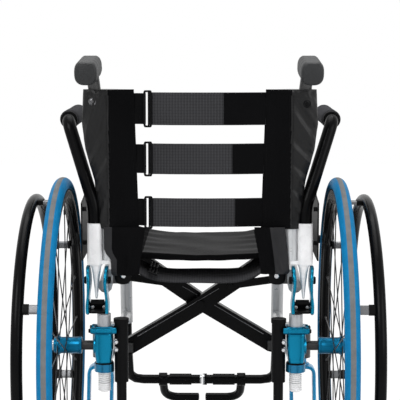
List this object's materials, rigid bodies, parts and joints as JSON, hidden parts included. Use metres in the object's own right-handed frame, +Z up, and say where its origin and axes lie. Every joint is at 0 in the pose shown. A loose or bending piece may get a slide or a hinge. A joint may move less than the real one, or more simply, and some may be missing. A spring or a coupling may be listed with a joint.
{
  "type": "active wheelchair",
  "caption": "Folding active wheelchair with cross brace, sling seat, strap back, swing-away armrests, spoked rear wheels with handrims, casters and a split foot bar.",
  "frame": {"origin": "on the floor, under the middle of the chair's whole length and width", "axes": "+X to the chair's right, +Y forward towards the foot bar, +Z up"},
  "size_m": [0.593, 0.8892, 0.8025],
  "materials": {
    "frame_paint": "satin silver-grey paint",
    "white_paint": "gloss white paint",
    "blue_anodised": "bright anodised blue",
    "blue_paint": "gloss blue paint",
    "blue_tyre": "blue side walls with a grey tread",
    "black_metal": "semi-gloss black powder coat",
    "black_plastic": "fine moulded texture",
    "black_nylon": "woven nylon with a soft sheen",
    "webbing": "charcoal ribbed webbing",
    "grey_foam": "closed-cell foam",
    "grip_rubber": "textured rubber",
    "caster_rubber": "solid rubber",
    "steel": "bright steel"
  },
  "bodies": {
    "frame_left": {"side_frame_left": "frame_paint", "rear_upright_left": "frame_paint", "axle_clamp_left": "blue_anodised", "hinge_bracket_left": "blue_anodised", "axle_pin_left": "steel", "antitip_sleeve_left": "black_plastic", "seat_sling": "black_nylon"},
    "frame_right": {"side_frame_right": "frame_paint", "rear_upright_right": "frame_paint", "axle_clamp_right": "blue_anodised", "hinge_bracket_right": "blue_anodised", "axle_pin_right": "steel", "antitip_sleeve_right": "black_plastic"},
    "brace_rear": {"cross_tube_rear": "black_metal"},
    "brace_front": {"cross_tube_front": "black_metal"},
    "link_left": {"folding_link_left": "black_metal"},
    "link_right": {"folding_link_right": "black_metal"},
    "back_left": {"back_post_left": "white_paint", "back_cane_left": "frame_paint", "push_grip_left": "grip_rubber", "back_panel_left": "black_nylon", "side_guard_left": "black_plastic", "back_strap_upper": "webbing", "back_strap_middle": "webbing", "back_strap_lower": "webbing"},
    "back_right": {"back_post_right": "white_paint", "back_cane_right": "frame_paint", "push_grip_right": "grip_rubber", "back_panel_right": "black_nylon", "side_guard_right": "black_plastic"},
    "latch_left": {"latch_bar_left": "black_metal"},
    "latch_right": {"latch_bar_right": "black_metal"},
    "armrest_left": {"armrest_tube_left": "black_metal", "armrest_pad_left": "grey_foam"},
    "armrest_right": {"armrest_tube_right": "black_metal", "armrest_pad_right": "grey_foam"},
    "wheel_left": {"tyre_left": "blue_tyre", "rim_left": "black_metal", "hub_with_spokes_left": "blue_anodised", "handrim_left": "black_metal"},
    "wheel_right": {"tyre_right": "blue_tyre", "rim_right": "black_metal", "hub_with_spokes_right": "blue_anodised", "handrim_right": "black_metal"},
    "button_left": {"release_button_left": "steel"},
    "button_right": {"release_button_right": "steel"},
    "caster_left": {"caster_fork_left": "blue_paint"},
    "caster_right": {"caster_fork_right": "blue_paint"},
    "caster_roll_left": {"caster_wheel_left": "caster_rubber"},
    "caster_roll_right": {"caster_wheel_right": "caster_rubber"},
    "lock_left": {"wheel_lock_lever_left": "black_metal"},
    "lock_right": {"wheel_lock_lever_right": "black_metal"},
    "antitip_left": {"antitip_tube_left": "frame_paint"},
    "antitip_right": {"antitip_tube_right": "frame_paint"},
    "tip_roll_left": {"antitip_roller_left": "caster_rubber"},
    "tip_roll_right": {"antitip_roller_right": "caster_rubber"},
    "leg_left": {"legrest_left": "black_metal"},
    "leg_right": {"legrest_right": "black_metal"},
    "loop_left": {"foot_loop_left": "black_metal"},
    "loop_right": {"foot_loop_right": "black_metal"}
  },
  "joints": [
    {"name": "frame_fold", "type": "hinge", "parent": "frame_left", "child": "brace_rear", "pos_m": [-0.135, 0.01525, 0.255], "axis": [0, -1, 0], "range_deg": [0, 41], "deforming": ["seat_sling", "back_strap_upper", "back_strap_middle", "back_strap_lower"]},
    {"name": "brace_cross", "type": "hinge", "parent": "brace_rear", "child": "brace_front", "pos_m": [0, 0.02625, 0.336], "axis": [0, -1, 0], "range_deg": [-82, 0]},
    {"name": "right_frame_fold", "type": "hinge", "parent": "brace_front", "child": "frame_right", "pos_m": [0.135, 0.03725, 0.255], "axis": [0, -1, 0], "range_deg": [0, 41]},
    {"name": "link_fold_left", "type": "hinge", "parent": "frame_left", "child": "link_left", "pos_m": [-0.15, 0.02475, 0.387], "axis": [0, -1, 0], "range_deg": [0, 71.4]},
    {"name": "link_fold_right", "type": "hinge", "parent": "frame_right", "child": "link_right", "pos_m": [0.15, 0.00275, 0.387], "axis": [0, 1, 0], "range_deg": [0, 71.4]},
    {"name": "leg_fold_left", "type": "hinge", "parent": "frame_left", "child": "leg_left", "pos_m": [-0.156, 0.30225, 0.24], "axis": [0, -0.186, 0.9825], "range_deg": [0, 78]},
    {"name": "leg_fold_right", "type": "hinge", "parent": "frame_right", "child": "leg_right", "pos_m": [0.156, 0.30225, 0.24], "axis": [0, 0.186, -0.9825], "range_deg": [0, 78]},
    {"name": "back_fold_left", "type": "hinge", "parent": "frame_left", "child": "back_left", "pos_m": [-0.183, -0.14975, 0.411], "axis": [1, 0, 0], "range_deg": [-55, 0]},
    {"name": "back_fold_right", "type": "hinge", "parent": "frame_right", "child": "back_right", "pos_m": [0.183, -0.14975, 0.411], "axis": [1, 0, 0], "range_deg": [-55, 0]},
    {"name": "latch_release_left", "type": "slide", "parent": "frame_left", "child": "latch_left", "axis": [0, 0, -1], "range_m": [0, 0.003], "stiffness_N_per_m": 400, "springref_m": -0.002},
    {"name": "latch_release_right", "type": "slide", "parent": "frame_right", "child": "latch_right", "axis": [0, 0, -1], "range_m": [0, 0.003], "stiffness_N_per_m": 400, "springref_m": -0.002},
    {"name": "armrest_swing_left", "type": "hinge", "parent": "back_left", "child": "armrest_left", "pos_m": [-0.183, -0.14975, 0.512], "axis": [0, 0, 1], "range_deg": [0, 90]},
    {"name": "armrest_swing_right", "type": "hinge", "parent": "back_right", "child": "armrest_right", "pos_m": [0.183, -0.14975, 0.512], "axis": [0, 0, -1], "range_deg": [0, 90]},
    {"name": "wheel_spin_left", "type": "hinge", "parent": "frame_left", "child": "wheel_left", "pos_m": [-0.24, -0.14975, 0.295], "axis": [1, 0, 0], "continuous": true},
    {"name": "wheel_spin_right", "type": "hinge", "parent": "frame_right", "child": "wheel_right", "pos_m": [0.24, -0.14975, 0.295], "axis": [1, 0, 0], "continuous": true},
    {"name": "axle_release_left", "type": "slide", "parent": "frame_left", "child": "button_left", "axis": [1, 0, 0], "range_m": [0, 0.005], "stiffness_N_per_m": 300, "springref_m": -0.003},
    {"name": "axle_release_right", "type": "slide", "parent": "frame_right", "child": "button_right", "axis": [-1, 0, 0], "range_m": [0, 0.005], "stiffness_N_per_m": 300, "springref_m": -0.003},
    {"name": "caster_swivel_left", "type": "hinge", "parent": "frame_left", "child": "caster_left", "pos_m": [-0.204, 0.21225, 0.2], "axis": [0, 0, 1], "continuous": true},
    {"name": "caster_swivel_right", "type": "hinge", "parent": "frame_right", "child": "caster_right", "pos_m": [0.204, 0.21225, 0.2], "axis": [0, 0, 1], "continuous": true},
    {"name": "caster_spin_left", "type": "hinge", "parent": "caster_left", "child": "caster_roll_left", "pos_m": [-0.204, 0.17025, 0.052], "axis": [1, 0, 0], "continuous": true},
    {"name": "caster_spin_right", "type": "hinge", "parent": "caster_right", "child": "caster_roll_right", "pos_m": [0.204, 0.17025, 0.052], "axis": [1, 0, 0], "continuous": true},
    {"name": "wheel_lock_left", "type": "hinge", "parent": "frame_left", "child": "lock_left", "pos_m": [-0.199, 0.16825, 0.398], "axis": [1, 0, 0], "range_deg": [0, 15]},
    {"name": "wheel_lock_right", "type": "hinge", "parent": "frame_right", "child": "lock_right", "pos_m": [0.199, 0.16825, 0.398], "axis": [1, 0, 0], "range_deg": [0, 15]},
    {"name": "antitip_swing_left", "type": "hinge", "parent": "frame_left", "child": "antitip_left", "pos_m": [-0.1379, -0.14975, 0.23], "axis": [0, 0, 1], "range_deg": [0, 180]},
    {"name": "antitip_swing_right", "type": "hinge", "parent": "frame_right", "child": "antitip_right", "pos_m": [0.1379, -0.14975, 0.23], "axis": [0, 0, -1], "range_deg": [0, 180]},
    {"name": "tip_spin_left", "type": "hinge", "parent": "antitip_left", "child": "tip_roll_left", "pos_m": [-0.1379, -0.33575, 0.052], "axis": [1, 0, 0], "continuous": true},
    {"name": "tip_spin_right", "type": "hinge", "parent": "antitip_right", "child": "tip_roll_right", "pos_m": [0.1379, -0.33575, 0.052], "axis": [1, 0, 0], "continuous": true},
    {"name": "loop_flip_left", "type": "hinge", "parent": "leg_left", "child": "loop_left", "pos_m": [-0.082, 0.38625, 0.096], "axis": [1, 0, 0], "range_deg": [0, 95]},
    {"name": "loop_flip_right", "type": "hinge", "parent": "leg_right", "child": "loop_right", "pos_m": [0.082, 0.38625, 0.096], "axis": [1, 0, 0], "range_deg": [0, 95]}
  ],
  "couplings": [
    {"joint": "brace_cross", "follows": "frame_fold", "ratio": -2},
    {"joint": "right_frame_fold", "follows": "frame_fold", "ratio": 1},
    {"joint": "link_fold_left", "follows": "frame_fold", "ratio": 1.74},
    {"joint": "link_fold_right", "follows": "frame_fold", "ratio": 1.74},
    {"joint": "leg_fold_left", "follows": "frame_fold", "ratio": 1.9},
    {"joint": "leg_fold_right", "follows": "frame_fold", "ratio": 1.9},
    {"joint": "back_fold_right", "follows": "back_fold_left", "ratio": 1}
  ]
}
